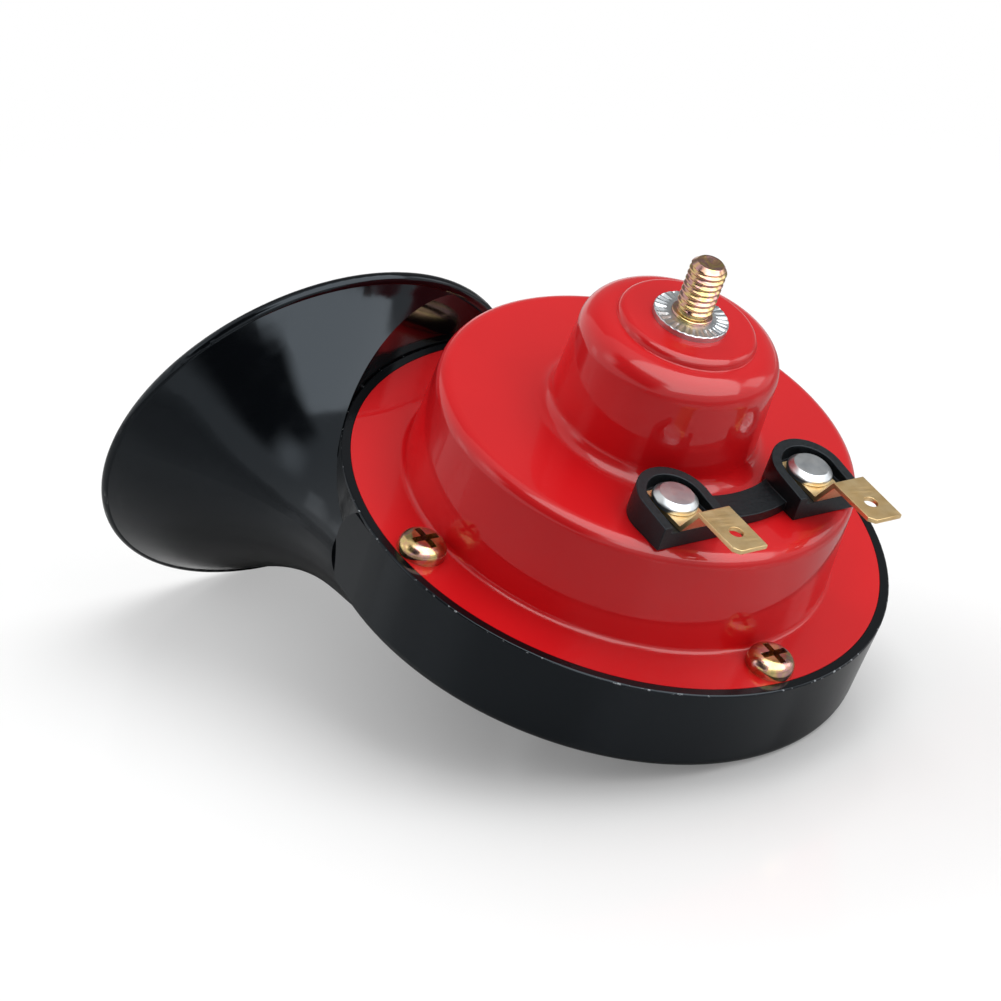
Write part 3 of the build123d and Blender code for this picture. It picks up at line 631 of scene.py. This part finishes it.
# %% Its chamfers and the dimple in its end
dimple_edge = 0.4
dimple_depth = 0.8
for vert in thread.verts:
    height = vert.co.z / mm
    allowed = min(
        neck_radius + (height - neck_top),
        stud_radius - max(0.0, height - (stud_tip - chamfer)),
    )
    reach = vert.co.xy.length / mm
    if reach > allowed:
        vert.co.x *= allowed / reach
        vert.co.y *= allowed / reach
top_face = max(thread.faces, key=lambda face: face.calc_center_median().z)
bmesh.ops.inset_region(thread, faces=[top_face], thickness=dimple_edge * mm)
centre = bmesh.ops.poke(thread, faces=[top_face])["verts"][0]
centre.co.z -= dimple_depth * mm
print("stud ends at", round(max(v.co.z for v in thread.verts) / mm, 2), "mm")

# %% The shank below it
shank_foot = 26.7
bead_radius = 3.35
bead_height = 0.5
shank = spun(rounded_wire((
    (0, shank_foot, 0),
    (stud_radius, shank_foot, 0),
    (stud_radius, washer_top, 0),
    (bead_radius, washer_top, 0.12),
    (bead_radius, washer_top + bead_height, 0.3),
    (neck_radius, washer_top + 0.62, 0.1),
    (neck_radius, neck_top + 0.1, 0),
    (0, neck_top + 0.1, 0),
), segments=4), steps=72)
shank_data = bpy.data.meshes.new("shank")
shank.to_mesh(shank_data)
shank.free()
thread.from_mesh(shank_data)
bpy.data.meshes.remove(shank_data)
dress(thread, "threaded_stud", "mounting_stud", "yellow_zinc", crease=50)

# %% [markdown]
# ## The serrated washer
# A coined steel washer under the nut's seat. Its radial teeth bite the bracket, so it can't
# turn. A flat ring is made first, with four points to each tooth, and the points between
# the crests are pressed down, more and more towards the edge.

# %% A flat ring
tooth_count = 30
tooth_points = 4
washer = bmesh.new()
bmesh.ops.create_circle(washer, segments=tooth_count * tooth_points, radius=cover_hole * mm)
ring_edge = washer.edges[:]
for reach in (3.7, 4.1, 4.6, 5.75, 5.98, 6.1):
    grown = bmesh.ops.extrude_edge_only(washer, edges=ring_edge)["geom"]
    ring_edge = [g for g in grown if isinstance(g, bmesh.types.BMEdge) and g.is_boundary]
    for vert in {v for e in ring_edge for v in e.verts}:
        vert.co *= reach * mm / vert.co.length
print("ring of", len(washer.faces), "faces")

# %% The teeth
tooth_depth = 0.24
tooth_shape = (0.0, 0.55, 1.0, 0.3)
for vert in washer.verts:
    reach = vert.co.length / mm
    share = atan2(vert.co.y, vert.co.x) / (2 * pi)
    step = round(share * tooth_count * tooth_points) % tooth_points
    tooth = int(share * tooth_count + tooth_count)
    uneven = 0.75 + 0.25 * sin(tooth * 2.4)
    inwards = min(1.0, max(0.0, (reach - 3.9) / 0.7))
    outwards = min(1.0, max(0.0, (6.3 - reach) / 0.5))
    pressed = tooth_shape[step] * tooth_depth * uneven * inwards * outwards
    rolled = 0.15 if reach > 6.0 else 0.0
    vert.co.z = (washer_top - pressed - rolled) * mm
bmesh.ops.recalc_face_normals(washer, faces=washer.faces)
if washer.faces[0].normal.z < 0:
    bmesh.ops.reverse_faces(washer, faces=washer.faces)
rims = [e for e in washer.edges if e.is_boundary]
sides = bmesh.ops.extrude_edge_only(washer, edges=rims)["geom"]
for vert in {g for g in sides if isinstance(g, bmesh.types.BMVert)}:
    vert.co.z = seat_height * mm
bmesh.ops.recalc_face_normals(washer, faces=washer.faces)
dress(washer, "serrated_steel_washer", "serrated_washer", "bright_zinc", crease=8)

# %% [markdown]
# ## Terminals
# The insulator carries two riveted blades. These are flat pieces, so each starts as a merged
# copy of its solid, and every sharp edge is rounded as the tool that made it leaves it: the
# moulding by a third of a millimetre, the stamped and coined brass by much less.

# %% Insulator and blades
insulator = softened("terminal_insulator", 0.35, 3)
even_normals(dress(insulator, "moulded_insulator", "terminal_insulator", "black_nylon"))
for side in ("left", "right"):
    node = "terminal_tab_" + side
    even_normals(dress(softened(node, 0.14, 2), "blade_" + side, node, "brass"))

# %% Rivets
rivet_reach = 22.0
rivet_spread = 14.0
pin_radius = 1.5
tail_radius = 2.8
tail_foot = 13.8
tail_top = 14.7
head_radius = 3.75
head_foot = 21.5
head_top = 23.1
out = Vector((cos(strip_angle), sin(strip_angle), 0))
across = Vector((sin(strip_angle), -cos(strip_angle), 0))
for side, sign in (("left", 1), ("right", -1)):
    rivet = spun(rounded_wire((
        (0, tail_foot, 0),
        (tail_radius, tail_foot, 0.2),
        (tail_radius, tail_top, 0),
        (pin_radius, tail_top, 0),
        (pin_radius, head_foot, 0),
        (head_radius, head_foot, 0.2),
        (head_radius, head_top - 0.8, 0.5),
        (head_radius - 0.9, head_top, 0.25),
        (0, head_top, 0),
    ), segments=6), steps=96)
    place = (out * rivet_reach + across * sign * rivet_spread) * mm
    bmesh.ops.translate(rivet, verts=rivet.verts, vec=place)
    dress(rivet, "rivet_" + side, "terminal_rivet_" + side, "bright_zinc")

# %% [markdown]
# ## Cover screws
# Four pan-head screws with a deep cross recess, the edges a little soft from the plating.

# %% The screws
screws = softened("shell_screws", 0.08, 2, 40)
even_normals(dress(screws, "pan_head_screws", "shell_screws", "yellow_zinc"))

# %% [markdown]
# ## Table, lamps and room
# The table is a pale sheet that only shows from above, and it fades out before its edge. Soft
# boxes hang over it and to both sides, as in a small product studio.

# %% The table
table_level = -30.31 * mm
table_radius = 0.6
table_frame = Matrix((camera_right, table_up.cross(camera_right), table_up))
table_frame = table_frame.transposed().to_4x4()
table_frame.translation = table_up * table_level

table_mesh = bmesh.new()
bmesh.ops.create_circle(table_mesh, cap_ends=True, segments=96, radius=table_radius)
bmesh.ops.transform(table_mesh, matrix=table_frame, verts=table_mesh.verts)
table_data = bpy.data.meshes.new("table")
table_mesh.to_mesh(table_data)
table_mesh.free()
table = bpy.data.objects.new("table", table_data)
bpy.context.scene.collection.objects.link(table)
print("table", round(table_level / mm, 2), "mm from the origin")

# %% [markdown]
# ### The pale sheet
# The camera sees the sheet a share of the way to plain white, least in the middle of the
# horn's shadow, and fading out before the sheet's edge. There its colour is painted darker
# too, a painted shadow on top of the one the lamps cast. Reflections see all of it painted
# darker, and darker still further out, a painted shade where no lamp is aimed. Nothing sees
# it from below.

# %% Where the sheet shows
fade_start = 0.16
fade_end = 0.32
sheet = new_material("pale_table", "F4F4F4", Roughness=0.15, IOR=1.45)
where = add_node(sheet, "TexCoord").outputs["Object"]
seen = add_node(sheet, "LightPath").outputs["Is Camera Ray"]
under = add_node(sheet, "NewGeometry").outputs["Backfacing"]
spread = add_node(sheet, "VectorMath", {"Vector": where}, operation="LENGTH")
fade = add_node(
    sheet, "MapRange",
    {"Value": spread.outputs["Value"], "From Min": fade_start, "From Max": fade_end,
     "To Min": 1.0, "To Max": 0.0},
    interpolation_type="SMOOTHSTEP",
)
unseen = add_node(sheet, "Math", {"Value": 1.0, "Value_001": seen}, operation="SUBTRACT")
cover_share = add_node(
    sheet, "Math", {"Value": fade.outputs["Result"], "Value_001": unseen.outputs["Value"]},
    operation="MAXIMUM",
)
shown = add_node(
    sheet, "Math", {"Value": cover_share.outputs["Value"], "Value_001": under},
    operation="SUBTRACT", use_clamp=True,
)
print("sheet fades from", fade_start, "to", fade_end, "m")

# %% How pale the sheet is, with its painted shadow
shadow_tone = 0.85
shadow_share = 0.15
open_share = 0.42
shadow_middle = camera_right * 0.025 + table_front * 0.03 + table_up * table_level
# painted shadow: the sheet's colour darkens towards a point in the middle of the horn's shadow
from_shadow = add_node(
    sheet, "VectorMath", {"Vector": where, "Vector_001": shadow_middle}, operation="DISTANCE",
)
painted_shadow_tone = add_node(
    sheet, "MapRange",
    {"Value": from_shadow.outputs["Value"], "From Min": 0.035, "From Max": 0.11,
     "To Min": shadow_tone, "To Max": 1.0},
    interpolation_type="SMOOTHSTEP",
)
camera_tone = add_node(
    sheet, "Math", {"Value": painted_shadow_tone.outputs["Result"], "Value_001": seen},
    operation="MULTIPLY",
)
# painted shade: reflections see the sheet darker further out
mirrored_tone = add_node(
    sheet, "MapRange",
    {"Value": spread.outputs["Value"], "From Min": 0.1, "From Max": 0.28,
     "To Min": 0.44, "To Max": 0.12},
    interpolation_type="SMOOTHSTEP",
)
tone = add_node(
    sheet, "Math",
    {"Value": mirrored_tone.outputs["Result"], "Value_001": camera_tone.outputs["Value"]},
    operation="MAXIMUM",
)
feed(sheet, Base_Color=tone.outputs["Value"])
# painted shadow: less plain white is added round the middle of the horn's shadow
camera_share = add_node(
    sheet, "MapRange",
    {"Value": painted_shadow_tone.outputs["Result"], "From Min": shadow_tone, "From Max": 1.0,
     "To Min": shadow_share, "To Max": open_share},
)
whiteness = add_node(
    sheet, "Math", {"Value": seen, "Value_001": camera_share.outputs["Result"]},
    operation="MULTIPLY",
)
print("sheet is", shadow_share, "to", open_share, "of the way to white")

# %% The sheet's surface
white = add_node(sheet, "Emission", {"Strength": 1.0})
clear = add_node(sheet, "BsdfTransparent")
lit_sheet = add_node(
    sheet, "MixShader",
    {"Fac": whiteness.outputs["Value"],
     "Shader": sheet.node_tree.nodes["Principled BSDF"].outputs["BSDF"],
     "Shader_001": white.outputs["Emission"]},
)
surface = add_node(
    sheet, "MixShader",
    {"Fac": shown.outputs["Value"], "Shader": clear.outputs["BSDF"],
     "Shader_001": lit_sheet.outputs["Shader"]},
)
sheet.node_tree.links.new(
    surface.outputs["Shader"], sheet.node_tree.nodes["Material Output"].inputs["Surface"]
)
table.data.materials.append(sheet)
print("material", sheet.name)

# %% [markdown]
# ## Soft boxes
# Each lamp is a rectangle turned to the horn, given by where it stands round the table. Its
# power follows from its size, so that a larger box gives softer light at the same level.
# Reflections don't see the lamps, because the cards below are drawn for them.

# %% Soft boxes
subject = Vector((0.0, -0.01, 0.0))


def towards(around, above, away):
    """Point facing the horn: degrees round from the front and above the table, and metres."""
    level = away * cos(radians(above))
    offset = (
        camera_right * level * sin(radians(around))
        + table_front * level * cos(radians(around))
        + table_up * away * sin(radians(above))
    )
    facing = offset.to_track_quat("Z", "Y").to_matrix().to_4x4()
    return Matrix.Translation(subject + offset) @ facing


def lamp_box(name, around, above, away, width, height, radiance):
    """Area lamp of this size, turned to the horn, as bright as so many white cards."""
    data = bpy.data.lights.new(name, "AREA")
    data.shape = "RECTANGLE"
    data.size = width
    data.size_y = height
    data.energy = radiance * pi * width * height
    lamp = bpy.data.objects.new(name, data)
    lamp.matrix_world = towards(around, above, away)
    lamp.visible_glossy = False
    bpy.context.scene.collection.objects.link(lamp)
    return lamp


lamps = (
    lamp_box("key_box", 66, 36, 0.8, width=0.9, height=0.8, radiance=1.35),
    lamp_box("left_box", -98, 20, 0.8, width=0.7, height=0.5, radiance=1.9),
    lamp_box("top_box", 140, 72, 0.9, width=0.9, height=0.9, radiance=2.3),
)
print("lamps:", len(lamps))

# %% [markdown]
# ## Cards
# A gloss shows the room. In a studio, white, grey and dark cards stand round a shiny object,
# so that its reflections have shape. These cards fade out at their edges, and only
# reflections see them.

# %% A card's paper
def faded_paper(name, width, height, level, soft):
    """Glow at this level that fades out over a share of the card's half width and height."""
    paper = bpy.data.materials.new(name)
    paper.use_nodes = True
    glow = add_node(paper, "Emission", {"Color": grey(1.0), "Strength": level})
    clear = add_node(paper, "BsdfTransparent")
    where = add_node(paper, "TexCoord").outputs["Object"]
    sides = add_node(paper, "SeparateXYZ", {"Vector": where})
    faded = []
    for axis, size in (("X", width), ("Y", height)):
        reach = add_node(paper, "Math", {"Value": sides.outputs[axis]}, operation="ABSOLUTE")
        faded.append(add_node(
            paper, "MapRange",
            {"Value": reach.outputs["Value"], "From Min": size / 2 * (1 - soft),
             "From Max": size / 2, "To Min": 1.0, "To Max": 0.0},
            interpolation_type="SMOOTHSTEP",
        ).outputs["Result"])
    share = add_node(
        paper, "Math", {"Value": faded[0], "Value_001": faded[1]}, operation="MULTIPLY",
    )
    mixed = add_node(
        paper, "MixShader",
        {"Fac": share.outputs["Value"], "Shader": clear.outputs["BSDF"],
         "Shader_001": glow.outputs["Emission"]},
    )
    paper.node_tree.links.new(
        mixed.outputs["Shader"], paper.node_tree.nodes["Material Output"].inputs["Surface"]
    )
    return paper


print("faded_paper:", faded_paper.__doc__)

# %% Cards for the reflections
def card(name, around, above, away, width, height, level, soft=0.2):
    """Card that only reflections see, at this level and with this softness."""
    outline = bmesh.new()
    bmesh.ops.create_grid(outline, x_segments=1, y_segments=1, size=0.5)
    bmesh.ops.scale(outline, vec=(width, height, 1), verts=outline.verts)
    data = bpy.data.meshes.new(name)
    outline.to_mesh(data)
    outline.free()
    data.materials.append(faded_paper(name + "_paper", width, height, level, soft))
    made = bpy.data.objects.new(name, data)
    made.matrix_world = towards(around, above, away)
    bpy.context.scene.collection.objects.link(made)
    made.visible_camera = False
    made.visible_diffuse = False
    made.visible_shadow = False
    made.visible_transmission = False
    return made


cards = (
    card("key_card", 45, 50, 0.75, width=1.3, height=1.05, level=4.3, soft=0.14),
    card("left_card", -97, 12, 0.75, width=0.16, height=0.3, level=1.8, soft=0.5),
    card("back_card", 160, 40, 1.0, width=2.4, height=1.5, level=0.28),
    card("dark_card", -32, 34, 0.7, width=0.95, height=0.8, level=0.03, soft=0.45),
    card("left_glint", -69, 30, 0.6, width=0.26, height=0.42, level=2.2, soft=0.95),
    card("right_glint", 103, 22, 0.65, width=0.26, height=0.34, level=2.6, soft=0.45),
)
print("cards:", len(cards))

# %% [markdown]
# ## The room
# The camera and every reflection see a plain white room. What the room adds to the light on
# the horn is less than that, so that the soft boxes still give it form.

# %% The room
fill_light = 0.45
world = bpy.data.worlds.new("studio")
bpy.context.scene.world = world
world.use_nodes = True
rays = add_node(world, "LightPath")
mirrored = add_node(
    world, "Math",
    {"Value": rays.outputs["Is Glossy Ray"], "Value_001": rays.outputs["Is Transmission Ray"]},
    operation="MAXIMUM",
)
viewed = add_node(
    world, "Math",
    {"Value": rays.outputs["Is Camera Ray"], "Value_001": mirrored.outputs["Value"]},
    operation="MAXIMUM",
)
strength = add_node(
    world, "MapRange", {"Value": viewed.outputs["Value"], "To Min": fill_light, "To Max": 1.0},
)
room = world.node_tree.nodes["Background"]
room.inputs["Color"].default_value = grey(1.0)
world.node_tree.links.new(strength.outputs["Result"], room.inputs["Strength"])
print("room gives", fill_light, "of white as light")

# %% [markdown]
